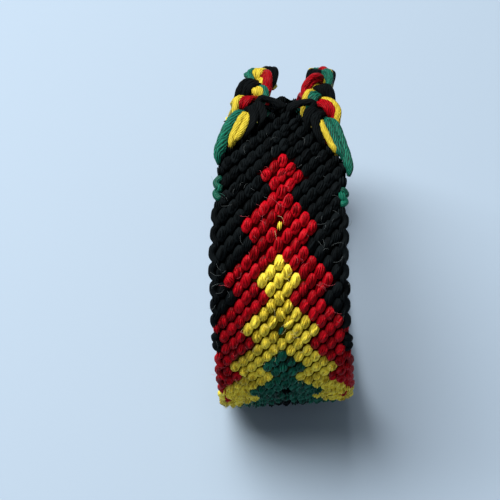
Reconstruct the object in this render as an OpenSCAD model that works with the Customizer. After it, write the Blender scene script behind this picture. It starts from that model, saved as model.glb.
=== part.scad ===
// Wish bracelet: a flat band of knotted threads bent into one closed loop.
// Each end of the band tapers to a point, and its threads leave the two slopes
// of that point in six strands. They make two plaits of three strands, which
// close the loop over its top and back.
// X is the wrist's axis, +Z is up, and the origin is the middle of the hollow.

/* [Band] */
// Width that one thread takes in the band
thread_pitch = 1.15; // [1.1:0.01:1.2]
// Length that one row of knots takes along the band
row_pitch = 1.28; // [1.24:0.01:1.3]
// Thickness of the knotted band
band_t = 1.9; // [1.6:0.1:2.2]
// How far the edge dips in at an edge knot, between two turns of its thread
edge_dip = 0.35; // [0:0.05:0.5]
// Height of the face's middle over its sides
face_crown = 0.25; // [0:0.05:0.4]

/* [Plaits] */
// Diameter of one strand
strand_d = 1.0; // [0.7:0.05:1]
// Sideways swing of a strand from the middle of its plait
plait_swing = 1.5; // [1.5:0.05:1.6]
// Swing of a strand up and down
plait_lift = 0.9; // [0.9:0.05:1]
// Length over which a strand comes back to its place
plait_period = 9.8; // [9.6:0.1:10]

/* [Hidden] */
LEFT = -1;
RIGHT = 1;

// Knots of the band
threads = 18;
band_rows = 102;
tip_half_w = 0.45;
edge_half_w = threads / 2 - 0.25;
// How widely the knots spread, by their rows from the nearer point
spread_by_row = [[0, 0.955], [12, 0.955], [28, 1.005], [48, 1.03]];
section_sides = 16;
side_round = 0.35;
face_round = 0.7;

// The loop's guide points: where it runs in Y and Z, how far it drifts to the
// side, and how many degrees its right edge leans inwards
Y = 0;
Z = 1;
DRIFT = 2;
LEAN = 3;
loop_points = [
    [14.8, 19.5, 0.7, 3],
    [6, 21.5, 0.6, 4],
    [-2, 21.5, 0.1, 5],
    [-13, 20.5, -0.7, 1],
    [-22, 13.5, -0.8, -5],
    [-26.5, 3.5, 0, -5],
    [-26.5, -8, 0.8, 3],
    [-23, -18.5, 1, 5],
    [-11.5, -21.5, 0.9, 4],
    [0, -22, 0.6, 3],
    [12, -21.5, 0.4, 1],
    [23.5, -17.5, 0.3, 1],
    [26.5, -8, 0.3, 0],
    [23, 1.5, 0.4, 0],
    [19.6, 11.3, 0.5, 1]
];
samples_per_point = 24;
tangent_step = 0.2;

// Place of the band's first point along the loop
first_tip = -0.42;

// Middle lines of the plaits: mm past the first point, mm to the left and to
// the right of the band's middle
PAST = 0;
plait_lines = [
    [-8, 6.1, 5.8],
    [-4, 5.7, 5.4],
    [0, 5.2, 4.8],
    [3, 4.6, 4.5],
    [6, 4, 5.1],
    [9, 3.6, 5.2],
    [16, 4.6, 5],
    [30, 5, 5]
];
plait_height = -0.45;
plait_step = 0.6;
strand_sides = 8;
// Where the middle strand climbs over the others for the first time
first_crossing = -0.9;
crossing_phase = -45;
strand_phase = 120;

// Fans of the strands between the knots and the plait. Each strand has the
// points before its plait, where its plait starts and stops, and the points
// after it. A point is mm past the nearer tip, mm to the left, mm to the right,
// and mm over the loop line.
OUTER = 0;
MIDDLE = 1;
INNER = 2;
BEFORE = 0;
START = 1;
STOP = 2;
AFTER = 3;
OVER = 3;
fans = [
    [
        [[-8.5, 8, 8, -0.95], [-7.8, 8.5, 8.5, -0.8], [-6.4, 8, 7.8, -0.2], [-5.3, 7.4, 7.2, 0.2]],
        -4.5, -1.8,
        [[1, 7.1, 7.1, -1], [4, 8.3, 8.3, -0.95], [6.6, 8.8, 8.8, -0.95], [7.9, 8.7, 8.7, -0.95],
            [8.5, 8, 8, -0.95]]
    ],
    [
        [[-4.9, 4.9, 4.9, -1.1], [-4.4, 5.6, 5.5, -1.25]],
        -3.6, -2,
        [[-0.2, 3.7, 3.7, -0.2], [0.9, 2.9, 2.9, -0.8], [1.5, 2, 2, -0.95]]
    ],
    [
        [[-1.3, 2.1, 2.1, -0.6], [-1, 2.7, 2.6, 0.15], [-1.2, 3.8, 3.4, 0.7]],
        -1.8, -1.8,
        [[1.6, 5.1, 5.1, -0.3], [3.2, 5.6, 5.6, -0.8], [4.3, 5.6, 5.6, -0.95], [4.9, 4.9, 4.9, -0.95]]
    ]
];

function unit(v) = v / norm(v);
function last(list) = list[len(list) - 1];
function power(base, exponent) = sign(base) * pow(abs(base), exponent);

// Closed cubic B-spline through the guide points, u counts the points
function loop_mix(a, b, c, d, t) =
    (pow(1 - t, 3) * a + (3 * pow(t, 3) - 6 * t * t + 4) * b
        + (3 * t + 3 * t * t - 3 * pow(t, 3) + 1) * c + pow(t, 3) * d) / 6;
function loop_point(u) =
    let (n = len(loop_points), i = floor(u))
    loop_mix(loop_points[i % n], loop_points[(i + 1) % n], loop_points[(i + 2) % n],
        loop_points[(i + 3) % n], u - i);

// Table from length along the loop to u
loop_samples = [for (i = [0 : len(loop_points) * samples_per_point]) loop_point(i / samples_per_point)];
function step_length(i) =
    norm([loop_samples[i][Y] - loop_samples[i - 1][Y], loop_samples[i][Z] - loop_samples[i - 1][Z]]);
length_table = [
    for (i = 0, s = 0; i < len(loop_samples); i = i + 1, s = i < len(loop_samples) ? s + step_length(i) : s)
        [s, i / samples_per_point]
];
loop_length = last(length_table)[0];
// Length of loop that the plaits bridge between the band's two points
plait_gap = loop_length - band_rows * row_pitch;

function loop_at(s) = loop_point(lookup(s - loop_length * floor(s / loop_length), length_table));
function centre(s) =
    let (p = loop_at(s))
    [p[DRIFT], p[Y], p[Z]];
function along(s) = unit(centre(s + tangent_step) - centre(s - tangent_step));
function level_across(s) =
    let (t = along(s))
    unit([1, 0, 0] - t[0] * t);
function across(s) =
    let (w = level_across(s), a = loop_at(s)[LEAN])
    w * cos(a) - cross(along(s), w) * sin(a);
function outward(s) = cross(along(s), across(s));
// Point at s along the loop, x to the right and h outwards from the loop line
function place(s, x, h) = centre(s) + across(s) * x + outward(s) * h;

// Half of the band's width at a row: pointed ends, and a dip at every second row
function rows_to_tip(row) = min(row, band_rows - row);
function half_width(row) =
    let (e = rows_to_tip(row), full = e + tip_half_w > edge_half_w)
    (full ? edge_half_w : e + tip_half_w) * thread_pitch * lookup(e, spread_by_row)
        - (full ? edge_dip * (1 - row % 2) : 0);
function band_ring(row) = [
    for (k = [0 : section_sides - 1])
        let (a = -360 * (k + 0.5) / section_sides, c = power(cos(a), side_round))
        place(first_tip + row * row_pitch, half_width(row) * c,
            (power(sin(a), face_round) - 1) * band_t / 2 + (sin(a) > 0 ? face_crown * (1 - c * c) : 0))
];

// Plait: each strand swings from side to side once and up and down twice in a period
function ease(t) = t * t * (3 - 2 * t);
function line_between(a, b, side, past) =
    a[side] + (b[side] - a[side]) * ease((past - a[PAST]) / (b[PAST] - a[PAST]));
function plait_middle(side, past) =
    let (i = max([for (k = [0 : len(plait_lines) - 2]) if (plait_lines[k][PAST] <= past) k]))
    line_between(plait_lines[i], plait_lines[i + 1], side == LEFT ? 1 : 2, past);
function plait_point(side, strand, past) =
    let (a = crossing_phase + 360 * (past - first_crossing) / plait_period - strand_phase * (strand - 1))
    [past, side * (plait_middle(side, past) - plait_swing * sin(a)), plait_height - plait_lift * sin(2 * a)];
function fan_points(side, points, shift) =
    [for (p = points) [p[PAST] + shift, side * p[side == LEFT ? 1 : 2], p[OVER]]];
function strand_route(side, strand) =
    let (f = fans[strand])
    concat(
        fan_points(side, f[BEFORE], 0),
        [for (past = [f[START] : plait_step : plait_gap + f[STOP]]) plait_point(side, strand, past)],
        fan_points(side, f[AFTER], plait_gap)
    );
function strand_ring(points, normals, i) =
    let (t = unit(points[min(i + 1, len(points) - 1)] - points[max(i - 1, 0)]),
        u = unit(cross(t, normals[i])), v = cross(u, t))
    [for (k = [0 : strand_sides - 1])
        let (a = 360 * k / strand_sides)
        points[i] + (u * cos(a) + v * sin(a)) * strand_d / 2];

// One closed solid through a list of rings
module skin(rings) {
    n = len(rings[0]);
    m = len(rings);
    walls = [
        for (i = [0 : m - 2]) for (k = [0 : n - 1])
            let (a = i * n + k, b = i * n + (k + 1) % n)
            each [[a, b, b + n], [a, b + n, a + n]]
    ];
    first_cap = [for (k = [n - 1 : -1 : 0]) k];
    last_cap = [for (k = [0 : n - 1]) (m - 1) * n + k];
    polyhedron([for (r = rings) each r], concat(walls, [first_cap], [last_cap]));
}

module knotted_band() {
    color("#14181b") skin([for (row = [0 : band_rows]) band_ring(row)]);
}

module strand(side, number) {
    route = strand_route(side, number);
    points = [for (p = route) place(first_tip - p[PAST], p[1], p[2])];
    normals = [for (p = route) outward(first_tip - p[PAST])];
    skin([for (i = [0 : len(points) - 1]) strand_ring(points, normals, i)]);
}

module left_braid_outer() {
    color("#0d7a55") strand(LEFT, OUTER);
}

module left_braid_middle() {
    color("#d8c81e") strand(LEFT, MIDDLE);
}

module left_braid_inner() {
    color("#14181b") strand(LEFT, INNER);
}

module right_braid_outer() {
    color("#0d7a55") strand(RIGHT, OUTER);
}

module right_braid_middle() {
    color("#c8141e") strand(RIGHT, MIDDLE);
}

module right_braid_inner() {
    color("#14181b") strand(RIGHT, INNER);
}

knotted_band();
left_braid_outer();
left_braid_middle();
left_braid_inner();
right_braid_outer();
right_braid_middle();
right_braid_inner();
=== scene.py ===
# %% [markdown]
# # A knotted wish bracelet
# The real bracelet is eighteen threads of embroidery cotton, knotted row by row
# into a flat band with a stepped arrow pattern. Both ends of the band come to a
# point, and the threads leave its two slopes in six strands, which make two
# plaits. This lesson dresses the plain solids of the loop: every knot, every
# thread of the plaits and some loose fibres are modelled.

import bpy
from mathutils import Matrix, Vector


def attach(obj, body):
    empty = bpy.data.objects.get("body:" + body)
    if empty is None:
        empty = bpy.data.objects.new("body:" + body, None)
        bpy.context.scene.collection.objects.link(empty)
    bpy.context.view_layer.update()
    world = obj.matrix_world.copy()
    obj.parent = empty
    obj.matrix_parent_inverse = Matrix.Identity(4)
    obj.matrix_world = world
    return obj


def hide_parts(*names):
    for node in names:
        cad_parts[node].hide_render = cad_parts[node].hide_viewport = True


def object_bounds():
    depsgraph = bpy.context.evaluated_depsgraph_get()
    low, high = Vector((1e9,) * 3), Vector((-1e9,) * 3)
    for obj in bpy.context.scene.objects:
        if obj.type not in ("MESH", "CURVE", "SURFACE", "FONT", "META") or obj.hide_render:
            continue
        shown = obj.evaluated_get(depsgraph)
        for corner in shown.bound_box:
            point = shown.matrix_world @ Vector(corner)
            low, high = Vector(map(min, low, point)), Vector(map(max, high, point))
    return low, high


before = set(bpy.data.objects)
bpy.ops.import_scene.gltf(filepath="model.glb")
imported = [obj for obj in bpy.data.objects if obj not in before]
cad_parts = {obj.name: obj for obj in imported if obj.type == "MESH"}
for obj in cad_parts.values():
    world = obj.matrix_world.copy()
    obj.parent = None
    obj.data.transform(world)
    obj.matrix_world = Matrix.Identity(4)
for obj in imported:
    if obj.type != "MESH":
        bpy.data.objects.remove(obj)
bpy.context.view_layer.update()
print("nodes:", sorted(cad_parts))

# %% Python modules
import random
from math import cos, exp, pi, radians, sin, tanh

import bmesh
import bpy
import numpy as np
from mathutils import Matrix, Vector

# %% [markdown]
# ## The loop
# Everything follows one closed line round the wrist, the same one that the
# solids follow. It is a B-spline through fifteen guide points. Each point also
# says how far the band drifts to the side and how much it leans. Sizes here are
# millimetres, and only place() turns them into Blender's metres.

# %% Guide line of the loop
MM = 0.001
# Columns of the table: Y, Z, drift to the side in mm, and lean in degrees
LEAN = 3
GUIDE = np.array([
    [14.8, 19.5, 0.7, 3],
    [6, 21.5, 0.6, 4],
    [-2, 21.5, 0.1, 5],
    [-13, 20.5, -0.7, 1],
    [-22, 13.5, -0.8, -5],
    [-26.5, 3.5, 0, -5],
    [-26.5, -8, 0.8, 3],
    [-23, -18.5, 1, 5],
    [-11.5, -21.5, 0.9, 4],
    [0, -22, 0.6, 3],
    [12, -21.5, 0.4, 1],
    [23.5, -17.5, 0.3, 1],
    [26.5, -8, 0.3, 0],
    [23, 1.5, 0.4, 0],
    [19.6, 11.3, 0.5, 1],
])
SAMPLES_PER_POINT = 24


def guide_at(u):
    """The spline at u, which counts the guide points."""
    i = int(u)
    t = u - i
    a, b, c, d = (GUIDE[(i + k) % len(GUIDE)] for k in range(4))
    return (
        (1 - t) ** 3 * a + (3 * t**3 - 6 * t**2 + 4) * b
        + (3 * t + 3 * t**2 - 3 * t**3 + 1) * c + t**3 * d
    ) / 6


guide_steps = np.arange(len(GUIDE) * SAMPLES_PER_POINT + 1) / SAMPLES_PER_POINT
guide_line = np.array([guide_at(u) for u in guide_steps])
step_lengths = np.linalg.norm(np.diff(guide_line[:, :2], axis=0), axis=1)
lengths = np.concatenate([[0], np.cumsum(step_lengths)])
LOOP_LENGTH = lengths[-1]
print(f"loop: {LOOP_LENGTH:.1f} mm round its outer face")

# %% Directions on the band's face
# mm to each side over which the direction along the loop is measured
TANGENT_STEP = 0.2


def loop_at(s):
    return guide_at(np.interp(s % LOOP_LENGTH, lengths, guide_steps))


def centre(s):
    y, z, drift, _ = loop_at(s)
    return np.array([drift, y, z])


def unit(v):
    return v / np.linalg.norm(v)


def directions(s):
    """Along the loop, across the band to its right, and outwards from its face."""
    along = unit(centre(s + TANGENT_STEP) - centre(s - TANGENT_STEP))
    level = unit(np.array([1, 0, 0]) - along[0] * along)
    lean = radians(loop_at(s)[LEAN])
    across = level * cos(lean) - np.cross(along, level) * sin(lean)
    return along, across, np.cross(along, across)


def place(s, x, h):
    """The point s mm along the loop, x mm to the right and h mm outwards, in metres."""
    _, across, outward = directions(s)
    return (centre(s) + across * x + outward * h) * MM


# %% [markdown]
# ## The knot chart
# The band is a brick pattern of knots. Even rows have nine knots and odd rows
# eight, and columns count from -8 to 8 over the middle. The colours start as
# arrow tips in the middle, widen in steps, and push the colour before them out.
# A short list of half-widths, row by row from a tip, gives all of the arrows.

# %% Colours of the knots
# mm that one thread takes across the band, and one row along it
THREAD_PITCH = 1.15
ROW_PITCH = 1.28
# Rows of the two points, and column of the edge
FIRST_ROW, LAST_ROW = -8, 94
EDGE = 8
# Place of the first point along the loop, thickness of the band, and how far its middle stands out
FIRST_TIP = -0.42
BAND_T = 1.9
FACE_CROWN = 0.25
# How widely the knots spread, by their rows from the nearer point
SPREAD_ROWS = [0, 12, 28, 48]
SPREADS = [0.955, 0.955, 1.005, 1.03]
# Rows where an arrow starts, with its colour
TIPS = [
    (-18, "black"), (0, "red"), (12, "yellow"), (24, "green"), (36, "black"),
    (54, "red"), (66, "yellow"), (78, "green"), (90, "black"),
]
# Half-widths of an arrow, row by row from its tip
STEPS_FROM_TIP = [0, 1, 2, 1, 0, 1, 2, 3, 4, 3, 2, 3, 4, 5, 6, 5, 4, 5, 6, 7, 8, 7, 6, 7, 8]
# Rows from an arrow's tip back to the dot of its colour
DOT_BEFORE_TIP = 4
# Single knots at the edge in a colour of their own
EDGE_KNOT_ROWS = {4: "green", 22: "black", 34: "red", 76: "black"}


def columns(row):
    inside = min(EDGE, row - FIRST_ROW, LAST_ROW - row)
    return [c for c in range(-EDGE, EDGE + 1) if (c + row) % 2 == 0 and abs(c) <= inside]


def is_dot(row, column):
    return column == 0 and any(row == tip - DOT_BEFORE_TIP for tip, _ in TIPS if tip > 0)


def colour_of(row, column):
    if abs(column) == EDGE and row in EDGE_KNOT_ROWS:
        return EDGE_KNOT_ROWS[row]
    colour = "black"
    for tip, name in TIPS:
        n = row - tip
        if n >= 0 and (n >= len(STEPS_FROM_TIP) or abs(column) <= STEPS_FROM_TIP[n]):
            colour = name
        if tip > 0 and n == -DOT_BEFORE_TIP and column == 0:
            return name
    return colour


def along_of(row):
    return FIRST_TIP + (row - FIRST_ROW) * ROW_PITCH


def spread(row):
    return np.interp(min(row - FIRST_ROW, LAST_ROW - row), SPREAD_ROWS, SPREADS)


def across_of(row, column):
    return column * THREAD_PITCH * spread(row)


knots = [(row, c) for row in range(FIRST_ROW, LAST_ROW + 1) for c in columns(row)]
print(f"chart: {len(knots)} knots, {sum(colour_of(*k) == 'black' for k in knots)} of them black")

# %% [markdown]
# ## Cotton thread as a material
# Embroidery cotton has six plies of fine filaments with a slight twist. One
# node group draws them on any piece whose UV map is in millimetres, across the
# thread in U and along it in V. It gives a height for the bump and a shade for
# the colour. The shade is partly painted light: painted shade in the grooves
# between the plies, painted highlight on their crowns, and fine streaks along
# the filaments that are partly their own tone and partly painted highlight. A
# number kept on each ply of a knot, and on each loose thread, shifts the
# pattern and its tone, so that no two look alike.

# %% Node group for the filaments
SEED = "thread_seed"


def new_group(name, inputs, outputs):
    group = bpy.data.node_groups.new(name, "ShaderNodeTree")
    for label, value in inputs.items():
        socket = group.interface.new_socket(label, in_out="INPUT", socket_type="NodeSocketFloat")
        socket.default_value = value
    for label in outputs:
        group.interface.new_socket(label, in_out="OUTPUT", socket_type="NodeSocketFloat")
    return group, group.nodes.new("NodeGroupInput"), group.nodes.new("NodeGroupOutput")


def add_node(tree, kind, settings=None, **inputs):
    """A new node with its settings, and its inputs set to values or joined to sockets."""
    node = tree.nodes.new(kind)
    for key, value in (settings or {}).items():
        setattr(node, key, value)
    for key, value in inputs.items():
        socket = node.inputs[int(key[1:])] if key[0] == "i" and key[1:].isdigit() else node.inputs[key]
        if isinstance(value, bpy.types.NodeSocket):
            tree.links.new(value, socket)
        else:
            socket.default_value = value
    return node


def maths(tree, operation, *values):
    """The result of a Math node that works on values and sockets."""
    return add_node(
        tree, "ShaderNodeMath", {"operation": operation}, **{f"i{i}": v for i, v in enumerate(values)}
    ).outputs[0]


# How far a ply's or a thread's own number shifts its pattern
SEED_SHIFT = 37.0
# Slow wandering of the filaments: changes per mm across and along, and how far they wander in mm
WANDER_ACROSS, WANDER_ALONG, WANDER = 1.6, 0.9, 0.35
# Single filaments: changes per mm across and along, and the range of the noise that is used
HAIRS_ACROSS, HAIRS_ALONG = 14.0, 1.5
HAIRS_FROM, HAIRS_TO = 0.32, 0.68
# Shares of the plies and the filaments in the height and in the shade, which is painted shade and
# highlight
PLY_HEIGHT = 0.7
PLY_SHADE, HAIR_SHADE = 0.35, 0.4

fibres, given, result = new_group(
    "cotton_filaments",
    {"Ply Width": 0.24, "Twist": 0.35, "Fuzz": 0.5, "Own Tone": 0.25},
    ["Height", "Shade"],
)
uv = add_node(fibres, "ShaderNodeUVMap", {"uv_map": "thread_mm"}).outputs["UV"]
seed = add_node(fibres, "ShaderNodeAttribute", {"attribute_name": SEED}).outputs["Fac"]
apart = add_node(fibres, "ShaderNodeSeparateXYZ", Vector=uv)
u_mm, v_mm = apart.outputs["X"], apart.outputs["Y"]
shift = maths(fibres, "MULTIPLY", seed, SEED_SHIFT)
slant = maths(fibres, "ADD", u_mm, maths(fibres, "MULTIPLY", v_mm, given.outputs["Twist"]))
loose_place = add_node(
    fibres, "ShaderNodeCombineXYZ",
    X=maths(fibres, "MULTIPLY", u_mm, WANDER_ACROSS), Y=maths(fibres, "MULTIPLY", v_mm, WANDER_ALONG),
)
wander = add_node(fibres, "ShaderNodeTexNoise", {"noise_dimensions": "4D"}, Scale=1.0,
                  Detail=1.0, Vector=loose_place.outputs[0], W=shift).outputs["Fac"]
wavy = maths(fibres, "ADD", slant, maths(fibres, "MULTIPLY", wander, WANDER))
ply_turns = maths(fibres, "DIVIDE", wavy, given.outputs["Ply Width"])
ply_angle = maths(fibres, "MULTIPLY", maths(fibres, "ADD", ply_turns, shift), 2 * pi)
ply_wave = maths(fibres, "SINE", ply_angle)
plies = maths(fibres, "MULTIPLY_ADD", ply_wave, 0.5, 0.5)
hair_place = add_node(
    fibres, "ShaderNodeCombineXYZ",
    X=maths(fibres, "MULTIPLY", wavy, HAIRS_ACROSS), Y=maths(fibres, "MULTIPLY", v_mm, HAIRS_ALONG),
)
hairs = add_node(fibres, "ShaderNodeTexNoise", {"noise_dimensions": "4D"}, Scale=1.0,
                 Detail=2.0, Vector=hair_place.outputs[0], W=shift).outputs["Fac"]
hairs = add_node(fibres, "ShaderNodeMapRange", Value=hairs, i1=HAIRS_FROM, i2=HAIRS_TO).outputs["Result"]
ply_height = maths(fibres, "MULTIPLY", plies, PLY_HEIGHT)
hair_height = maths(fibres, "MULTIPLY", hairs, given.outputs["Fuzz"])
height = maths(fibres, "ADD", ply_height, hair_height)
fibres.links.new(height, result.inputs["Height"])
# The shade is a random own tone plus painted light: painted shade in the ply grooves and painted
# highlight on the ply crowns and filaments
own_shade = maths(fibres, "MULTIPLY", seed, given.outputs["Own Tone"])
ply_shade = maths(fibres, "MULTIPLY", plies, PLY_SHADE)
hair_shade = maths(fibres, "MULTIPLY", hairs, HAIR_SHADE)
shade = maths(fibres, "ADD", own_shade, maths(fibres, "ADD", ply_shade, hair_shade))
fibres.links.new(shade, result.inputs["Shade"])
print("node group:", fibres.name, len(fibres.nodes), "nodes")

# %% Thread colours
# Each thread has a deep colour, its painted shade, and a lit colour, its painted highlight; the ramp
# paints between them
THREADS = {
    "black": {"deep": (0.0008, 0.0012, 0.0014), "lit": (0.0045, 0.0065, 0.0075), "sheen": 0.005,
              "tint": (0.6, 0.85, 0.85), "rough": 0.75, "gloss": 0.04},
    "red": {"deep": (0.1, 0.0002, 0.001), "lit": (0.42, 0.0025, 0.009), "sheen": 0.005,
            "tint": (1.0, 0.3, 0.35), "rough": 0.45, "gloss": 0.07},
    "yellow": {"deep": (0.3, 0.2, 0.004), "lit": (0.92, 0.74, 0.065), "sheen": 0.01,
               "tint": (1.0, 0.95, 0.5), "rough": 0.5, "gloss": 0.12},
    "green": {"deep": (0.0006, 0.012, 0.008), "lit": (0.006, 0.12, 0.075), "sheen": 0.02,
              "tint": (0.4, 1.0, 0.8), "rough": 0.5, "gloss": 0.12},
}
BUMP_DEPTH = 0.09 * MM
SHEEN_ROUGHNESS = 0.4


def thread_material(name, look, ply_width, twist, relief, own_tone, ramp_from, ramp_to):
    material = bpy.data.materials.new(name)
    material.use_nodes = True
    tree = material.node_tree
    shader = tree.nodes["Principled BSDF"]
    strands = add_node(tree, "ShaderNodeGroup", {"node_tree": fibres})
    strands.inputs["Ply Width"].default_value = ply_width
    strands.inputs["Twist"].default_value = twist
    strands.inputs["Own Tone"].default_value = own_tone
    # Painted light and shade: the ramp runs from the thread's deep, shaded colour to its lit colour
    ramp = add_node(tree, "ShaderNodeValToRGB", Fac=strands.outputs["Shade"])
    ramp.color_ramp.elements[0].position = ramp_from
    ramp.color_ramp.elements[0].color = (*look["deep"], 1)
    ramp.color_ramp.elements[1].position = ramp_to
    ramp.color_ramp.elements[1].color = (*look["lit"], 1)
    tree.links.new(ramp.outputs["Color"], shader.inputs["Base Color"])
    bump = add_node(tree, "ShaderNodeBump", Height=strands.outputs["Height"], Strength=relief,
                    Distance=BUMP_DEPTH)
    tree.links.new(bump.outputs["Normal"], shader.inputs["Normal"])
    shader.inputs["Roughness"].default_value = look["rough"]
    shader.inputs["Specular IOR Level"].default_value = look["gloss"]
    shader.inputs["Sheen Weight"].default_value = look["sheen"]
    shader.inputs["Sheen Roughness"].default_value = SHEEN_ROUGHNESS
    shader.inputs["Sheen Tint"].default_value = (*look["tint"], 1)
    return material


# The plies of a knot are modelled and differ in tone. A loose thread has its plies in the bump and in
# painted shade and highlight.
KNOT_THREAD = {
    "ply_width": 0.3, "twist": 0.0, "relief": 0.5, "own_tone": 0.85, "ramp_from": 0.3, "ramp_to": 1.0,
}
LOOSE_THREAD = {
    "ply_width": 0.26, "twist": 0.3, "relief": 0.9, "own_tone": 0.15, "ramp_from": 0.22, "ramp_to": 0.75,
}
# Painted light: the lit colour of each loose thread against that of the knots of its thread, green
# brighter and yellow darker, for how light falls on each
LOOSE_PAINTED_LIGHT = {"black": 1.0, "red": 1.02, "yellow": 0.82, "green": 1.6}
knot_materials = {
    name: thread_material(f"{name}_knot_thread", look, **KNOT_THREAD) for name, look in THREADS.items()
}
floss_materials = {}
for name, look in THREADS.items():
    # Painted light: the knots' lit colour is scaled for the loose threads
    lit = tuple(k * LOOSE_PAINTED_LIGHT[name] for k in look["lit"])
    floss_materials[name] = thread_material(f"{name}_loose_thread", {**look, "lit": lit}, **LOOSE_THREAD)
print("materials:", sorted(m.name for m in bpy.data.materials))

# %% [markdown]
# ## One ply of a knot
# A knot is a loop of thread pulled tight, so on the face it is a plump oval bead
# with three or four plies of the thread side by side. One ply is a sphere with
# its poles at the ends, pushed out towards a box, so that it is blunt and its
# neighbours leave only a shallow groove between them. It stays a low mesh of
# forty faces, because the band holds some four thousand of them.

# %% The grain that stands for a ply
GRAIN_SIDES, GRAIN_RINGS = 8, 5
# A sphere would have 2, and a box is blunter than any number
BLUNTNESS = 2.8
# A slanted way, along which the grain's corners and faces are sorted, so that each run lists them alike
SORT_WAY = Vector((1, 3.7, 11.9))
# Width and length of a usual ply, and width, length and thickness of a knot's back
PLY_SIZE = (0.45, 1.5)
BACK_SIZE = (1.05, 1.75, 0.85)


def grain_mesh(sides, rings, width, length):
    bm = bmesh.new()
    layer = bm.loops.layers.uv.new("thread_mm")
    bm.verts.layers.float.new(SEED)
    bmesh.ops.create_uvsphere(bm, u_segments=sides, v_segments=rings, radius=1,
                              matrix=Matrix.Rotation(radians(90), 4, "X"))
    for v in bm.verts:
        v.co /= sum(abs(k) ** BLUNTNESS for k in v.co) ** (1 / BLUNTNESS)
    bm.verts.sort(key=lambda v: v.co.dot(SORT_WAY))
    bm.faces.sort(key=lambda face: face.calc_center_median().dot(SORT_WAY))
    for face in bm.faces:
        face.smooth = True
        for corner in face.loops:
            corner[layer].uv = (corner.vert.co.x * width / 2, corner.vert.co.y * length / 2)
    mesh = bpy.data.meshes.new("grain")
    bm.to_mesh(mesh)
    bm.free()
    return mesh


face_grain = grain_mesh(GRAIN_SIDES, GRAIN_RINGS, *PLY_SIZE)
back_grain = grain_mesh(GRAIN_SIDES, GRAIN_RINGS, *BACK_SIZE[:2])
print("grain:", len(face_grain.polygons), "faces, on the back", len(back_grain.polygons))


# %% Setting a grain on the band
def set_grain(bm, mesh, s, x, h, lean, nod, size, seed):
    """Adds a grain on the band. lean turns its top to the right, and nod lifts its top."""
    along, across, outward = directions(s)
    up = -along
    y_way = up * cos(lean) + across * sin(lean)
    x_way = across * cos(lean) - up * sin(lean)
    y_lifted = y_way * cos(nod) + outward * sin(nod)
    z_way = outward * cos(nod) - y_way * sin(nod)
    turn = Matrix([[x_way[k] * size[0], y_lifted[k] * size[1], z_way[k] * size[2]] for k in range(3)])
    loose = mesh.copy()
    loose.transform(Matrix.Translation(place(s, x, h)) @ (turn * (MM / 2)).to_4x4())
    loose.attributes[SEED].data.foreach_set("value", [seed] * len(loose.vertices))
    bm.from_mesh(loose)
    bpy.data.meshes.remove(loose)


# %% [markdown]
# ## The knots
# Knots on the left half are tied one way and on the right half the other way.
# All of the thread is twisted the same way, though, so the two halves don't
# mirror each other: the plies of a knot on the left stand nearly straight, and
# on the right they lean over. A thicker grain under each knot stands for the
# thread that it is tied on, and one at the back for the knot's own back. A
# little seeded chance in the size, lean and height of every knot and ply keeps
# the band from looking cast.

# %% Sizes of the knots
LEFT, MIDDLE_COLUMN, RIGHT = -1, 0, 1
# Numbers of plies to choose from, their lean to the right and the slope of their row in degrees,
# width and length of the bead in mm, lean of the thread under it
TYING = {
    LEFT: {"plies": (3, 4), "lean": -4, "slope": 22, "width": 1.0, "length": 1.45, "under": 20},
    MIDDLE_COLUMN: {"plies": (3, 4), "lean": 4, "slope": 16, "width": 1.08, "length": 1.6, "under": 8},
    RIGHT: {"plies": (3, 3, 4), "lean": 13, "slope": 28, "width": 1.02, "length": 1.53, "under": 20},
}
# Width of a ply against its share of the bead, its thickness at the edge of the band and elsewhere,
# and how much thinner and shorter the outer plies of a bead are
PLY_OVERLAP = 1.05
RIM_T, PLY_T = 1.7, 1.25
SIDE_DROP, ROUNDING = 0.45, 0.45
# How far the top of a bead is lifted, in degrees
NOD = 14
# Chance in degrees, as a share of a size, and in mm
LEAN_CHANCE, SLOPE_CHANCE, PLY_LEAN_CHANCE, NOD_CHANCE = 11, 12, 4, 5
SIZE_CHANCE = 0.14
PLACE_CHANCE = 0.1
# Heights over the loop line, and how far the outermost knots are tucked in
FACE_H, RIM_H, UNDER_H, BACK_H = -0.5, -0.8, -0.78, -1.42
RIM_TUCK = 0.2
UNDER_SIZE = (1.5, 2.3, 1.15)
# The row whose edge knots sit further in, on the face
INSET_ROW, EDGE_INSET = 34, 0.75
# Size of a dot against other knots, and the first rows of a point, which sit lower
DOT_SIZE, DOT_LENGTH = 0.58, 0.9
TIP_ROWS, TIP_DROP = 2, 0.45
print("beads:", {side: (tying["width"], tying["length"]) for side, tying in TYING.items()})

# %% Where a knot sits
CHANCE_SEED = 18
chance = random.Random(CHANCE_SEED)


def crown(row, x):
    """How far the face stands out over its sides."""
    half = max(THREAD_PITCH, (min(EDGE, row - FIRST_ROW, LAST_ROW - row) + 1) * THREAD_PITCH)
    return FACE_CROWN * (1 - min(1, abs(x) / half) ** 2)


def at_rim(row, column):
    return abs(column) == min(EDGE, row - FIRST_ROW, LAST_ROW - row)


def near(spread_by):
    """A small number to either side of nought."""
    return chance.uniform(-spread_by, spread_by)


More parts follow.
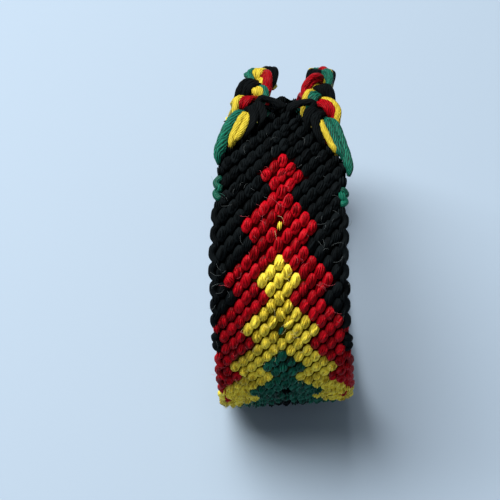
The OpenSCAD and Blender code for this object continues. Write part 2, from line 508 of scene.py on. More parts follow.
# %% Tie one knot
def tie_knot(bm, row, column):
    side = (column > 0) - (column < 0)
    tying = TYING[side]
    inset = abs(column) == EDGE and row == INSET_ROW
    rim = at_rim(row, column) and not inset
    count = chance.choice(tying["plies"])
    dot = is_dot(row, column)
    width = tying["width"] * (1 + near(SIZE_CHANCE)) * (DOT_SIZE if dot else 1)
    length = tying["length"] * (1 + near(SIZE_CHANCE)) * (DOT_LENGTH if dot else 1)
    lean = chance.gauss(0 if rim else tying["lean"], LEAN_CHANCE)
    slope = radians(chance.gauss(0 if rim else tying["slope"], SLOPE_CHANCE))
    nod = 0 if rim else radians(NOD + chance.gauss(0, NOD_CHANCE))
    x = across_of(row, column) + near(PLACE_CHANCE)
    s = along_of(row) + near(PLACE_CHANCE)
    if rim or inset:
        x -= side * (EDGE_INSET if inset else RIM_TUCK)
    h = (RIM_H if rim else FACE_H + crown(row, x)) + near(PLACE_CHANCE)
    if min(row - FIRST_ROW, LAST_ROW - row) < TIP_ROWS:
        h -= TIP_DROP
    for ply in range(count):
        out = (2 * ply + 1) / count - 1
        gap = out * width / 2
        size = (
            width / count * PLY_OVERLAP, length * (1 - ROUNDING * out * out),
            (RIM_T if rim else PLY_T) * (1 - SIDE_DROP * out * out) * (1 + near(SIZE_CHANCE)),
        )
        set_grain(bm, face_grain, s - gap * sin(slope), x + gap * cos(slope), h,
                  radians(lean + near(PLY_LEAN_CHANCE)), nod, size, chance.random())
    if not rim:
        if not dot:
            set_grain(bm, back_grain, s, x, UNDER_H + crown(row, x), radians(tying["under"]), 0,
                      UNDER_SIZE, chance.random())
        set_grain(bm, back_grain, s, x, BACK_H + near(PLACE_CHANCE), -radians(tying["lean"]) / 2, 0,
                  BACK_SIZE, chance.random())


# %% Start a piece, and finish it
def new_thread_mesh():
    bm = bmesh.new()
    bm.loops.layers.uv.new("thread_mm")
    bm.verts.layers.float.new(SEED)
    return bm


def finish_piece(bm, name, material, nodes):
    mesh = bpy.data.meshes.new(name)
    bm.to_mesh(mesh)
    bm.free()
    mesh.materials.append(material)
    piece = bpy.data.objects.new(name, mesh)
    bpy.context.scene.collection.objects.link(piece)
    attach(piece, "root")
    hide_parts(*nodes)
    print(f"{name}: {sum(len(p.vertices) - 2 for p in mesh.polygons)} triangles")


# %% Tie all knots
knot_meshes = {name: new_thread_mesh() for name in THREADS}
for row, column in knots:
    tie_knot(knot_meshes[colour_of(row, column)], row, column)
print("faces of the knots:", {name: len(bm.faces) for name, bm in knot_meshes.items()})

# %% [markdown]
# ## Threads swept along a line
# A loose thread is a flat grid of faces that is rolled into a tube along its
# line, so its UV map has no seam to mend: U runs round the thread and V along
# it. Its cross-section has six soft ribs, one for each ply, and they wind
# slowly round the thread.

# %% A smooth line through points
def smooth_line(points, per_step):
    """A Catmull-Rom curve through the points, with per_step short steps between each two."""
    p = np.vstack([2 * points[0] - points[1], points, 2 * points[-1] - points[-2]])
    line = [
        0.5 * (
            2 * p[i] + (p[i + 1] - p[i - 1]) * t
            + (2 * p[i - 1] - 5 * p[i] + 4 * p[i + 1] - p[i + 2]) * t**2
            + (3 * p[i] - p[i - 1] - 3 * p[i + 1] + p[i + 2]) * t**3
        )
        for i in range(1, len(p) - 2)
        for t in np.arange(per_step) / per_step
    ]
    return np.array(line + [p[-2]])


# %% Rolling a grid into a thread
PLIES = 6
# Depth of the ribs as a share of the radius, and how far they rise again between the grooves
RIB, RIB_RISE = 0.1, 1.6
# The higher it is, the nearer to its ends a thread starts to thin
END_SHARPNESS = 30
# Metres within which two corners of a seam are one, and sides of the largest hole that is filled
MERGE_WITHIN = 1e-7
MOST_SIDES = 64


def roll_thread(bm, line, outwards, radii, sides, turn_mm, seed, ribs=RIB, taper=0.0, widths=None):
    """Rolls a grid into a ribbed tube along line, which is in metres, and returns its vertices.

    outwards is the way that its flat side faces at each point. radii are half its width and half its
    thickness, turn_mm is the length of one turn of its plies, and taper is how much its ends thin.
    """
    widths = np.ones(len(line)) if widths is None else widths
    along = np.gradient(line, axis=0)
    along /= np.linalg.norm(along, axis=1)[:, None]
    side = np.cross(along, outwards)
    side /= np.linalg.norm(side, axis=1)[:, None]
    over = np.cross(side, along)
    far = np.concatenate([[0], np.cumsum(np.linalg.norm(np.diff(line, axis=0), axis=1))]) / MM
    rings = len(line)
    layer = bm.loops.layers.uv["thread_mm"]
    seeds = bm.verts.layers.float[SEED]
    made = bmesh.ops.create_grid(bm, x_segments=sides, y_segments=rings - 1, size=0.5)["verts"]
    spot = {}
    for v in made:
        i, j = round((v.co.x + 0.5) * sides), round((v.co.y + 0.5) * (rings - 1))
        spot[v] = (i, j)
        a = 2 * pi * i / sides
        ply_angle = PLIES * (a / 2 - pi * far[j] / turn_mm)
        ends = 1 - taper * (abs(2 * j / (rings - 1) - 1) ** END_SHARPNESS)
        swell = (1 - ribs + ribs * abs(cos(ply_angle)) * RIB_RISE) * ends * MM
        out = side[j] * cos(a) * radii[0] * widths[j] + over[j] * sin(a) * radii[1]
        v.co = Vector(line[j] + out * swell)
        v[seeds] = seed
    for face in {f for v in made for f in v.link_faces}:
        face.smooth = True
        for corner in face.loops:
            i, j = spot[corner.vert]
            corner[layer].uv = (pi * sum(radii) * i / sides, far[j])
    seam = [v for v in made if spot[v][0] in (0, sides)]
    bmesh.ops.remove_doubles(bm, verts=seam, dist=MERGE_WITHIN)
    return [v for v in made if v.is_valid]


def close_tubes(bm):
    """Fills the open ends and turns all faces outwards."""
    rims = [e for e in bm.edges if e.is_boundary]
    bmesh.ops.holes_fill(bm, edges=rims, sides=MOST_SIDES)
    bmesh.ops.recalc_face_normals(bm, faces=bm.faces[:])


# %% [markdown]
# ## Turns along the edges
# At each edge a thread turns round to the next row but one. It shows as a plump
# bow between two edge knots, in the colour of the knot above it, and gives the
# band its scalloped rim. A single knot of another colour has a short bow of its
# own thread on each side. Round the red edge knot, which sits further in on the
# face, the bows are yellow.

# %% Shape of an edge bow
# Radius of a bow, how far it stands out past the edge knots, and length of one turn of its plies
BOW_R, BOW_OUT, BOW_TURN = 0.48, 0.3, 6.0
# Its sides, the steps between two points of its line, and how much its ends thin
BOW_SIDES, BOW_STEPS, BOW_TAPER = 12, 3, 0.3
# Rows from the bow's middle, mm past the edge knots, height
BOW_POINTS = [
    (-1, -0.75, -0.55), (-0.55, -0.2, -0.75), (0, 0, -0.85), (0.55, -0.2, -0.75), (1, -0.75, -0.55),
]
# Against a full bow, the length of one that turns back at a single knot
SHORT_BOW = {LEFT: 0.62, RIGHT: 0.5}


def edge_bow(bm, row, side, knot_row=None):
    """Adds the bow at a row. With a knot_row, the bow is short and stays next to that knot."""
    part = 1 if knot_row is None else SHORT_BOW[side]
    middle = row if knot_row is None else knot_row + (row - knot_row) * part
    rim = EDGE * THREAD_PITCH * spread(row) + BOW_OUT + near(PLACE_CHANCE)
    spots = [(along_of(middle + rows * part), side * (rim + out), h) for rows, out, h in BOW_POINTS]
    line = smooth_line(np.array([place(*spot) for spot in spots]), BOW_STEPS)
    outward = np.tile(directions(along_of(row))[2], (len(line), 1))
    roll_thread(bm, line, outward, (BOW_R, BOW_R), BOW_SIDES, BOW_TURN, chance.random(), taper=BOW_TAPER)


# %% Bows down both edges
FIRST_BOW = 3


def bow_look(row, side):
    """The colour of the bow at a row, and the row of the single knot that it turns back at, if any."""
    if abs(row - INSET_ROW) == 1:
        return "yellow", None
    for knot_row in (row - 1, row + 1):
        if knot_row in EDGE_KNOT_ROWS:
            return EDGE_KNOT_ROWS[knot_row], knot_row
    return colour_of(row - 1, side * EDGE), None


bow_rows = range(FIRST_BOW, LAST_ROW - EDGE - FIRST_BOW + 1, 2)
for row in bow_rows:
    for side in (LEFT, RIGHT):
        colour, knot_row = bow_look(row, side)
        edge_bow(knot_meshes[colour], row, side, knot_row)
print("bows at each edge:", len(bow_rows))

# %% Finish the knots
for name, bm in knot_meshes.items():
    close_tubes(bm)
    finish_piece(bm, f"{name}_knots", knot_materials[name], ["knotted_band"])

# %% [markdown]
# ## The carrying threads
# Inside the band run the threads that the others are knotted on. They show only
# as dark chinks between the knots, so one strip stands for them all. On its
# vertices are the chart's deep colours, darkened further, as painted shade in
# the chinks. It is a grid too, rolled flat round the band's middle.

# %% A strip inside the band
CORE_SIDES = 28
CORE_RINGS_PER_ROW = 2
CORE_T = 0.9
# How far the strip stays inside the straight edges and the slopes, and its least half width
CORE_INSET, SLOPE_INSET = 0.35, -0.15
CORE_LEAST = 0.2
# Painted shade: brightness of the strip against the deep, shaded colours of the threads
CORE_SHADE = 0.35
core = new_thread_mesh()
painted_chink_shades = core.verts.layers.float_color.new("chart_colour_in_painted_shade")
core_segments = CORE_RINGS_PER_ROW * (LAST_ROW - FIRST_ROW)
for v in bmesh.ops.create_grid(core, x_segments=CORE_SIDES, y_segments=core_segments, size=0.5)["verts"]:
    row = FIRST_ROW + (v.co.y + 0.5) * (LAST_ROW - FIRST_ROW)
    a = -2 * pi * (v.co.x + 0.5)
    full = min(EDGE, row - FIRST_ROW, LAST_ROW - row) + 0.5
    inset = CORE_INSET if 0 < row < LAST_ROW + FIRST_ROW else SLOPE_INSET
    x = max(CORE_LEAST, full * THREAD_PITCH * spread(row) - inset) * cos(a)
    nearest = max(-EDGE, min(EDGE, round(x / (THREAD_PITCH * spread(row)))))
    beside = 1 if is_dot(round(row), nearest) else nearest
    # Painted shade: the deep colour of the knot beside each point, darkened further
    v[painted_chink_shades] = (*(CORE_SHADE * k for k in THREADS[colour_of(round(row), beside)]["deep"]), 1)
    v.co = Vector(place(along_of(row), x, -BAND_T / 2 + sin(a) * CORE_T / 2 + crown(row, x) / 2))
bmesh.ops.remove_doubles(core, verts=core.verts[:], dist=MERGE_WITHIN)
close_tubes(core)
for face in core.faces:
    face.smooth = True
print("strip inside the band:", len(core.faces), "faces")

# %% Material of the carrying threads
CORE_ROUGHNESS = 0.9
# Changes of the noise per metre, and its share in the colour
CORE_GRAIN, CORE_GRAIN_SHARE = 2500.0, 0.7
core_material = bpy.data.materials.new("carrying_threads")
core_material.use_nodes = True
core_tree = core_material.node_tree
core_shader = core_tree.nodes["Principled BSDF"]
core_shader.inputs["Roughness"].default_value = CORE_ROUGHNESS
core_shader.inputs["Specular IOR Level"].default_value = 0.0
# It reads the painted shade kept on the strip's vertices
core_painted_shade = add_node(core_tree, "ShaderNodeAttribute", {"attribute_name": "chart_colour_in_painted_shade"})
core_place = add_node(core_tree, "ShaderNodeTexCoord").outputs["Object"]
core_noise = add_node(core_tree, "ShaderNodeTexNoise", Vector=core_place, Scale=CORE_GRAIN)
core_mix = add_node(core_tree, "ShaderNodeMix", {"data_type": "RGBA", "blend_type": "MULTIPLY"})
core_mix.inputs["Factor"].default_value = CORE_GRAIN_SHARE
core_tree.links.new(core_painted_shade.outputs["Color"], core_mix.inputs["A"])
core_tree.links.new(core_noise.outputs["Fac"], core_mix.inputs["B"])
core_tree.links.new(core_mix.outputs["Result"], core_shader.inputs["Base Color"])
finish_piece(core, "carrying_threads", core_material, ["knotted_band"])

# %% [markdown]
# ## Routes of the plaits
# Each half of the threads leaves the slope of a point in three strands and is
# plaited up over the loop to the other point. A strand swings from side to side
# once while it goes up and down twice, and its two neighbours do the same a
# third of a period later, which is all that a plait is.

# %% Middle lines and swings
OUTER, MIDDLE, INNER = 0, 1, 2
# Length of loop that the plaits bridge
GAP = LOOP_LENGTH - (LAST_ROW - FIRST_ROW) * ROW_PITCH
# How far a strand swings up and down, and the length over which it comes back to its place
LIFT, PERIOD = 0.9, 9.8
# Degrees of the period at the first crossing, and from one strand to the next
CROSSING_PHASE, STRAND_PHASE = -45, 120
# How far a strand swings to the side, at four places past the point: widest next to the knots
SWING_OVER, SWINGS = (2, 6, 18, 22), (1.5, 1.15, 1.15, 1.5)
# Place of the first crossing, height over the loop line, and distance between a route's points
FIRST_CROSSING = -0.9
PLAIT_H = -0.45
PLAIT_STEP = 0.6
# How many mm the pattern of a plait is drawn out, at five places past the point
DRAWN_OVER = (-3, 0.5, 4, 9, 12)
DRAWN_BY = {LEFT: (0, 0.3, 0.8, 2, 2.4), RIGHT: (0, 0.7, 0.7, 1.2, 1.4)}
OUTER_DRAWN_BY = {LEFT: (0, 0.85, 1, 2, 2.4), RIGHT: DRAWN_BY[RIGHT]}
# The outer strands dip under the inner ones: where, over what length and how deep
TUCK_AT, TUCK_OVER, TUCK = -0.6, 1.2, 1.1
# Where the right middle strand bulges out, over what length and how far
BULGE_AT, BULGE_OVER, BULGE = -1.2, 1.6, 0.5
# Where the left plait sags over the top of the loop, and by how much
SAG_OVER, SAG_BY = (9.3, 11, 14, 17), (0, 0.8, 0.8, 0)
# Middles of the plaits: mm past the point, mm to the left, mm to the right
PLAIT_LINES = [
    [-8, 6.1, 5.8], [-4, 5.7, 5.4], [0, 5.2, 4.8], [3, 4.6, 4.5],
    [6, 3.75, 5.1], [9, 3.25, 5.2], [13, 3.3, 5.5], [18, 4.1, 5.6], [30, 5, 5],
]
# Points before a strand's plait, where its plait starts and stops, and the points after it, each
# mm past the nearer point, mm to the left, mm to the right, mm over the loop line
FANS = {
    OUTER: {
        "before": [
            [-8.5, 8, 8, -0.95], [-7.8, 8.5, 8.5, -0.8], [-6.4, 8, 7.8, -0.2], [-5.3, 7.4, 7.2, 0.2],
        ],
        "start": -4.5, "stop": -1.8,
        "after": [
            [1, 7.1, 7.1, -1], [4, 8.3, 8.3, -0.95], [6.6, 8.8, 8.8, -0.95], [7.9, 8.7, 8.7, -0.95],
            [8.5, 8, 8, -0.95],
        ],
    },
    MIDDLE: {
        "before": [[-4.9, 4.9, 4.9, -1.1], [-4.4, 5.6, 5.5, -1.25]],
        "start": -3.6, "stop": -2,
        "after": [[-0.2, 3.7, 3.7, -0.2], [0.9, 2.9, 2.9, -0.8], [1.5, 2, 2, -0.95]],
    },
    INNER: {
        "before": [[-1.3, 2.1, 2.1, -0.6], [-1, 2.7, 2.6, 0.15], [-1.2, 3.8, 3.4, 0.7]],
        "start": -1.8, "stop": -1.8,
        "after": [
            [1.6, 5.1, 5.1, -0.3], [3.2, 5.6, 5.6, -0.8], [4.3, 5.6, 5.6, -0.95], [4.9, 4.9, 4.9, -0.95],
        ],
    },
}


# %% Routes of the strands
def ease(t):
    return t * t * (3 - 2 * t)


def bell(past, middle, width):
    """One at the middle, and nought well away from it."""
    return exp(-((past - middle) / width) ** 2)


def plait_middle(side, past):
    for a, b in zip(PLAIT_LINES, PLAIT_LINES[1:]):
        if past <= b[0]:
            break
    t = min(1, max(0, (past - a[0]) / (b[0] - a[0])))
    k = 1 if side == LEFT else 2
    return a[k] + (b[k] - a[k]) * ease(t)


def phase(strand, past):
    turns = (past - FIRST_CROSSING) / PERIOD
    return radians(CROSSING_PHASE + 360 * turns - STRAND_PHASE * (strand - 1))


def drawn(side, strand, past):
    """Place in the plait's pattern, which the pull on the threads draws out a little."""
    by = OUTER_DRAWN_BY if strand == OUTER else DRAWN_BY
    return past - np.interp(past, DRAWN_OVER, by[side])


def plait_spot(side, strand, past):
    """Past the point, across and outwards, of a strand in its plait."""
    a = phase(strand, drawn(side, strand, past))
    dip = TUCK * bell(past, TUCK_AT, TUCK_OVER) if strand == OUTER else 0
    if side == LEFT:
        dip += np.interp(past, SAG_OVER, SAG_BY)
    bulge = BULGE * bell(past, BULGE_AT, BULGE_OVER) if (side, strand) == (RIGHT, MIDDLE) else 0
    swing = np.interp(past, SWING_OVER, SWINGS)
    out = plait_middle(side, past) - swing * sin(a) + bulge
    return [past, side * out, PLAIT_H - LIFT * sin(2 * a) - dip]


def strand_route(side, strand):
    fan = FANS[strand]
    k = 1 if side == LEFT else 2
    before = [[p[0], side * p[k], p[3]] for p in fan["before"]]
    steps = np.arange(fan["start"], GAP + fan["stop"], PLAIT_STEP)
    plait = [plait_spot(side, strand, past) for past in steps]
    after = [[p[0] + GAP, side * p[k], p[3]] for p in fan["after"]]
    return np.array(before + plait + after)


print(f"plaits bridge {GAP:.1f} mm, a strand's route has {len(strand_route(LEFT, OUTER))} points")

# %% [markdown]
# ## Three threads to a strand
# The threads of a strand lie side by side like a ribbon. At a turn of the plait
# the ribbon tips up. The left outer strand folds right over there, so that its
# left thread comes to its right, and the others rock back. Near the band each
# thread takes its own way to the place on the slope that it comes out of.

# %% Threads of the plaits
# Half width and half thickness of a thread, and the distance from one to the next
FLOSS_W, FLOSS_T = 0.52, 0.46
FLOSS_GAP = 0.64
# Its sides, and the steps between two points of its line
FLOSS_SIDES, FLOSS_STEPS = 36, 3
# Length of one turn of its plies, and how much its ends thin
FLOSS_TURN = 11.0
FLOSS_TAPER = 0.5
# The strand that folds over at its turns, how suddenly a turn comes, half of the angle that it
# folds by, and how far the other strands tip up
FOLDING = (LEFT, OUTER)
FOLD_SHARPNESS = 2.2
FOLD, TIP_UP = pi / 2, radians(35)
# Where a strand is rolled further, so that its left or right thread goes under: mm past the point,
# degrees
ROLLS = {
    (LEFT, MIDDLE): [(-2, -45), (-0.9, 0), (0, 30), (1.5, 50), (3.2, 50), (6, 50), (7.5, 0)],
    (LEFT, OUTER): [(3.5, 0), (5.2, 15), (8, 15), (10, 0)],
    (RIGHT, MIDDLE): [(-2, 20), (-0.7, 0), (1.5, 0), (3.2, -60), (6.5, -90), (9, -90), (10.5, 0)],
    (RIGHT, OUTER): [(3.5, 0), (5.2, 60), (8, 60), (9.5, 75), (11.5, 0)],
}
FLOSS_COLOURS = {
    (LEFT, OUTER): ["green", "yellow", "yellow"],
    (LEFT, MIDDLE): ["yellow", "red", "red"],
    (LEFT, INNER): ["black", "black", "black"],
    (RIGHT, OUTER): ["yellow", "green", "green"],
    (RIGHT, MIDDLE): ["red", "red", "yellow"],
    (RIGHT, INNER): ["black", "black", "black"],
}
SIDE_NAMES = {LEFT: "left", RIGHT: "right"}
STRAND_NAMES = {OUTER: "outer", MIDDLE: "middle", INNER: "inner"}

# %% Leads of the threads
# Leads of the three threads, outermost first, from the slope to the ribbon:
# mm past the point, mm to the left, mm to the right, mm over the loop line
NEAR_LEADS = {
    OUTER: [
        [(-11.5, 8.9, 9.4, -1), (-10.8, 9.15, 9.4, -0.4), (-9.8, 9, 9.15, 0), (-8.6, 8.75, 8.8, 0.1),
         (-7.2, 8.45, 8.35, 0.1), (-5.5, 7.95, 7.75, 0.3), (-4.4, 7.4, 7.3, 0.5),
         (-3.4, 6.85, 6.75, 0.45)],
        [(-9.1, 7.5, 8.4, -0.5), (-8.5, 7.5, 8.1, 0.25), (-7.3, 7.3, 7.5, 0.3), (-5.5, 6.75, 6.75, 0.5),
         (-4.4, 6.35, 6.3, 0.55), (-3.5, 5.9, 5.9, 0.45)],
        [(-8.5, 7.25, 7.55, -0.5), (-8, 7.05, 7.15, 0.25), (-7.1, 6.5, 6.6, 0.3), (-5.5, 5.8, 5.75, 0.5),
         (-4.4, 5.5, 5.25, 0.5), (-3.5, 5.35, 4.95, 0.3)],
    ],
    MIDDLE: [
        [(-5.4, 4.2, 4.2, -1.5), (-4.6, 5.4, 5.3, -1.5)],
        [(-4.9, 3.8, 3.8, -1.5), (-4.2, 5, 4.9, -1.5)],
        [(-4.4, 3.4, 3.4, -1.5), (-3.8, 4.6, 4.5, -1.5)],
    ],
    INNER: [
        [(-6.9, 5.7, 5.4, -0.8), (-6, 5.3, 5, 0.1), (-5, 4.9, 4.6, 0.45), (-4, 4.7, 4.3, 0.7),
         (-3.2, 4.75, 4.3, 0.85), (-2.5, 5, 4.5, 0.7)],
        [(-4.9, 3.65, 3.3, -0.8), (-4, 3.6, 3.25, 0.4), (-2.9, 3.75, 3.2, 0.8), (-1.8, 4.2, 3.75, 0.9)],
        [(-2, 0.4, 0.4, -0.4), (-1.45, 0.65, 0.65, 0.4), (-0.95, 1.2, 1.2, 0.6), (-0.6, 2, 2, 0.7),
         (-0.45, 2.9, 2.9, 0.8), (-0.5, 3.8, 3.8, 0.9)],
    ],
}
# The same at the far point, where the middle strand comes out next to it
FAR_LEADS = {
    OUTER: [
        [(-9.4, 8.3, 8.3, -1), (-8.3, 8.3, 8.3, -0.95), (-6.6, 8, 8, -0.95), (-4, 7.6, 7.6, -0.95)],
        [(-8.4, 7.4, 7.4, -1), (-7.2, 7.4, 7.4, -0.95), (-4.6, 6.9, 6.9, -0.95)],
        [(-7.6, 6.6, 6.6, -1), (-6.4, 6.5, 6.5, -0.95), (-4.4, 6.1, 6.1, -0.95)],
    ],
    MIDDLE: [
        [(-4.4, 3.9, 3.9, -1), (-3.4, 4.3, 4.3, -0.9)],
        [(-3.2, 2.9, 2.9, -1), (-2.3, 3.5, 3.5, -0.9)],
        [(-2.2, 1.9, 1.9, -1), (-1.4, 2.7, 2.7, -0.8)],
    ],
    INNER: [
        [(-7.6, 6.5, 6.5, -1.3), (-6, 6.6, 6.6, -1)],
        [(-6.9, 5.9, 5.9, -1.3), (-5.4, 6, 6, -1)],
        [(-6.2, 5.3, 5.3, -1.3), (-4.8, 5.4, 5.4, -1)],
    ],
}
# How far the threads of a lead are fanned out, against their width in the plait
LEAD_WIDTHS = {
    (LEFT, OUTER): (1.8, 1.05, 1.05), (RIGHT, OUTER): (1.4, 1.35, 0.9),
    (LEFT, MIDDLE): (1.3, 1, 1), (RIGHT, MIDDLE): (1, 1, 1.2),
    (LEFT, INNER): (1.9, 2.2, 1.6), (RIGHT, INNER): (1.9, 1.9, 1.6),
}
# Points of a strand's own route that its leads take the place of, at both ends
NEAR_CUT, FAR_CUT = {OUTER: 6, MIDDLE: 2, INNER: 3}, {OUTER: 4, MIDDLE: 2, INNER: 3}


# %% Lines of the threads
def ribbon_roll(side, strand, past):
    """Turn of the ribbon about its line: flat at the crossings, tipped up at the turns."""
    within = min(GAP + FANS[strand]["stop"], max(FANS[strand]["start"], past))
    a = phase(strand, drawn(side, strand, within))
    flat = tanh(FOLD_SHARPNESS * cos(a)) / tanh(FOLD_SHARPNESS)
    roll = side * (FOLD * (1 - flat) if (side, strand) == FOLDING else TIP_UP * (1 - abs(flat)))
    more = ROLLS.get((side, strand), [(0, 0)])
    return roll + radians(np.interp(past, [p for p, _ in more], [r for _, r in more]))


def lead(side, strand, number, far_end):
    """A thread's lead, from its root, in metres."""
    points = []
    for past, left, right, h in (FAR_LEADS if far_end else NEAR_LEADS)[strand][number]:
        x = side * (left if side == LEFT else right)
        points.append(place(FIRST_TIP - (GAP - past if far_end else past), x, h))
    return points


def floss_lines(side, strand):
    """The lines of a strand's three threads, the ways that their flat sides face, and their widths."""
    route = strand_route(side, strand)
    route = route[NEAR_CUT[strand]:len(route) - FAR_CUT[strand]]
    line = np.array([place(FIRST_TIP - past, x, h) for past, x, h in route])
    outward = np.array([directions(FIRST_TIP - past)[2] for past, _, _ in route])
    along = np.gradient(line, axis=0)
    along /= np.linalg.norm(along, axis=1)[:, None]
    across = np.cross(along, outward)
    across /= np.linalg.norm(across, axis=1)[:, None]
    over = np.cross(across, along)
    roll = np.array([ribbon_roll(side, strand, past) for past, _, _ in route])[:, None]
    ribbon = across * np.cos(roll) + over * np.sin(roll)
    facing = over * np.cos(roll) - across * np.sin(roll)
    for j in (-1, 0, 1):
        points, ways, widths = line + ribbon * (j * FLOSS_GAP * MM), facing, [1.0] * len(line)
        for far_end in (False, True):
            end = -1 if far_end else 0
            inwards = -j * side if np.dot(ribbon[end], across[end]) > 0 else j * side
            own = lead(side, strand, 1 + inwards, far_end)
            same_way = np.tile(facing[end], (len(own), 1))
            points = np.vstack([points, own[::-1]] if far_end else [own, points])
            ways = np.vstack([ways, same_way] if far_end else [same_way, ways])
            widest = 1 if far_end else LEAD_WIDTHS[side, strand][1 + inwards]
            fan = [widest + (1 - widest) * (k / len(own)) ** 2 for k in range(len(own))]
            widths = widths + fan[::-1] if far_end else fan + widths
        smooth_widths = smooth_line(np.array(widths)[:, None], FLOSS_STEPS)[:, 0]
        yield smooth_line(points, FLOSS_STEPS), smooth_line(ways, FLOSS_STEPS), smooth_widths


# %% Roll the threads
for (side, strand), colours in FLOSS_COLOURS.items():
    side_name, strand_name = SIDE_NAMES[side], STRAND_NAMES[strand]
    node = f"{side_name}_braid_{strand_name}"
    for number, (line, facing, widths) in enumerate(floss_lines(side, strand), 1):
        colour = colours[number - 1]
        bm = new_thread_mesh()
        roll_thread(bm, line, facing, (FLOSS_W, FLOSS_T), FLOSS_SIDES, FLOSS_TURN, chance.random(),
                    taper=FLOSS_TAPER, widths=widths)
        close_tubes(bm)
        name = f"{side_name}_{strand_name}_floss_{number}"
        finish_piece(bm, name, floss_materials[colour], [node])

# %% [markdown]
# ## Stray fibres
# Cotton sheds short fibres, and they show up pale over the black knots. Each is
# a thin bowed tube with four sides that starts and ends between two knots. All
# of them are one mesh, with their colours kept on its vertices: paler than the
# knots under them, as painted highlight where light catches the fuzz.

# %% Scatter the fibres
FIBRE_COUNT = 360
# The knots before this one, at the tip of the first point, have none
FIRST_KNOT_WITH_FIBRES = 20
FIBRE_R = 0.013
FIBRE_SIDES, FIBRE_POINTS, FIBRE_STEPS = 4, 5, 2
FIBRE_TURN = 10
# Shortest and longest, how far one bows to the side at most, height of its ends, rise of its middle
FIBRE_LENGTHS = (0.5, 1.8)
FIBRE_BOW = 0.32
FIBRE_H, FIBRE_LIFT = -0.15, 0.35
# Painted highlight: each fibre is paler than the knots that it lies on
FIBRE_HIGHLIGHT_TINTS = {
    "black": (0.12, 0.135, 0.135), "red": (0.55, 0.1, 0.12), "yellow": (0.8, 0.72, 0.35),
    "green": (0.08, 0.32, 0.24),
}


def fibre_line(row, column):
    """A bowed line that starts and ends low between two knots near this one, and its way outwards."""
    s, x = along_of(row) + near(ROW_PITCH), across_of(row, column) + near(THREAD_PITCH)
    way = chance.uniform(0, 2 * pi)
    length, bow = chance.uniform(*FIBRE_LENGTHS), near(FIBRE_BOW)
    spots = []
    for t in np.linspace(-1, 1, FIBRE_POINTS):
        run, aside = t * length / 2, bow * (1 - t * t)
        spots.append(place(s + run * cos(way) - aside * sin(way), x + run * sin(way) + aside * cos(way),
                           FIBRE_H + crown(row, x) + FIBRE_LIFT * (1 - t * t)))
    line = smooth_line(np.array(spots), FIBRE_STEPS)
    return line, np.tile(directions(s)[2], (len(line), 1))


fibre_bm = new_thread_mesh()
fibre_highlight_tint = fibre_bm.verts.layers.float_color.new("fibre_highlight_tint")
for _ in range(FIBRE_COUNT):
    row, column = knots[chance.randrange(FIRST_KNOT_WITH_FIBRES, len(knots))]
    line, outward = fibre_line(row, column)
    made = roll_thread(fibre_bm, line, outward, (FIBRE_R, FIBRE_R), FIBRE_SIDES, FIBRE_TURN,
                       chance.random(), ribs=0.0)
    for v in made:
        v[fibre_highlight_tint] = (*FIBRE_HIGHLIGHT_TINTS[colour_of(row, column)], 1)
close_tubes(fibre_bm)
print("fibres:", FIBRE_COUNT)

# %% Material of the fibres
FIBRE_ROUGHNESS, FIBRE_GLOSS = 0.8, 0.05
fibre_material = bpy.data.materials.new("stray_cotton_fibre")
fibre_material.use_nodes = True
fibre_tree = fibre_material.node_tree
fibre_shader = fibre_tree.nodes["Principled BSDF"]
# The painted highlight kept on the fibres' vertices
fibre_highlight_colour = add_node(fibre_tree, "ShaderNodeAttribute", {"attribute_name": "fibre_highlight_tint"})
fibre_tree.links.new(fibre_highlight_colour.outputs["Color"], fibre_shader.inputs["Base Color"])
fibre_shader.inputs["Roughness"].default_value = FIBRE_ROUGHNESS
fibre_shader.inputs["Specular IOR Level"].default_value = FIBRE_GLOSS
finish_piece(fibre_bm, "stray_fibres", fibre_material, ["knotted_band"])

# %% [markdown]
# ## Floor, light and camera
# The bracelet keeps the form that it has round a wrist, and the floor lies
# under its lowest point. One broad soft light from above and behind gives the
# knots their bright tops, as a window does. The pale sky fills the shadows, and
# a weak light in front helps it.

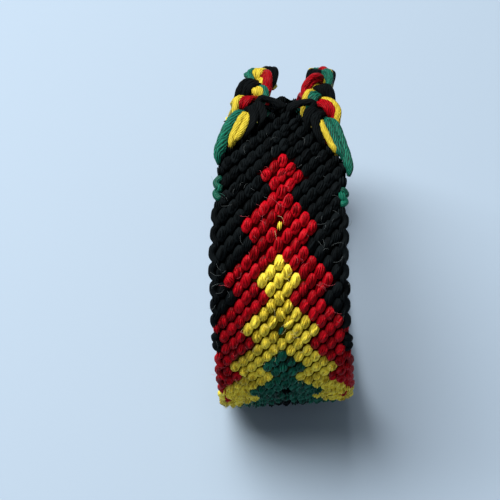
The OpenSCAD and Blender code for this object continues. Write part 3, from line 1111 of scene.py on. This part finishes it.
# %% Floor
FLOOR_SIZE = 1.2
FLOOR_COLOUR, FLOOR_ROUGHNESS = (0.33, 0.415, 0.51, 1), 0.8
floor_bm = bmesh.new()
bmesh.ops.create_grid(floor_bm, x_segments=1, y_segments=1, size=FLOOR_SIZE / 2)
bmesh.ops.translate(floor_bm, verts=floor_bm.verts, vec=(0, 0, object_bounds()[0].z))
floor_mesh = bpy.data.meshes.new("floor")
floor_bm.to_mesh(floor_mesh)
floor_bm.free()
floor_material = bpy.data.materials.new("pale_floor")
floor_material.use_nodes = True
floor_shader = floor_material.node_tree.nodes["Principled BSDF"]
floor_shader.inputs["Base Color"].default_value = FLOOR_COLOUR
floor_shader.inputs["Roughness"].default_value = FLOOR_ROUGHNESS
floor_mesh.materials.append(floor_material)
floor = bpy.data.objects.new("floor", floor_mesh)
bpy.context.scene.collection.objects.link(floor)
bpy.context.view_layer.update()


# %% Lights
SKY_COLOUR, SKY_STRENGTH = (0.78, 0.87, 1.0, 1), 0.2


def aim(thing, target):
    way = Vector(target) - thing.location
    thing.rotation_mode = "QUATERNION"
    thing.rotation_quaternion = way.to_track_quat("-Z", "Y")


def soft_light(name, location, size, power, colour):
    light = bpy.data.lights.new(name, "AREA")
    light.size = size
    light.energy = power
    light.color = colour
    lamp = bpy.data.objects.new(name, light)
    lamp.location = location
    bpy.context.scene.collection.objects.link(lamp)
    aim(lamp, (0, 0, 0))
    print(f"{name}: {power} W")


soft_light("window", location=(-0.2, 0.14, 0.48), size=0.4, power=5.8, colour=(1.0, 0.99, 0.97))
soft_light("room", location=(0.1, -0.45, 0.4), size=0.5, power=0.15, colour=(1.0, 0.97, 0.93))
world = bpy.data.worlds.new("pale_sky")
bpy.context.scene.world = world
world.use_nodes = True
world.node_tree.nodes["Background"].inputs["Color"].default_value = SKY_COLOUR
world.node_tree.nodes["Background"].inputs["Strength"].default_value = SKY_STRENGTH
bpy.context.scene.view_settings.view_transform = "Standard"

# %% Camera
SENSOR = 36.0
FIELD_OF_VIEW = radians(20)
ELEVATION = radians(57)
NEAREST_SEEN = 10 * MM
AIM = Vector((-4.7, -16.5, 17.5)) * MM
DISTANCE = 195.27 * MM
camera_data = bpy.data.cameras.new("camera")
camera_data.sensor_width = SENSOR
camera_data.angle = FIELD_OF_VIEW
camera_data.clip_start = NEAREST_SEEN
camera = bpy.data.objects.new("camera", camera_data)
camera.location = AIM + Vector((0, -cos(ELEVATION), sin(ELEVATION))) * DISTANCE
bpy.context.scene.collection.objects.link(camera)
aim(camera, AIM)
bpy.context.scene.camera = camera
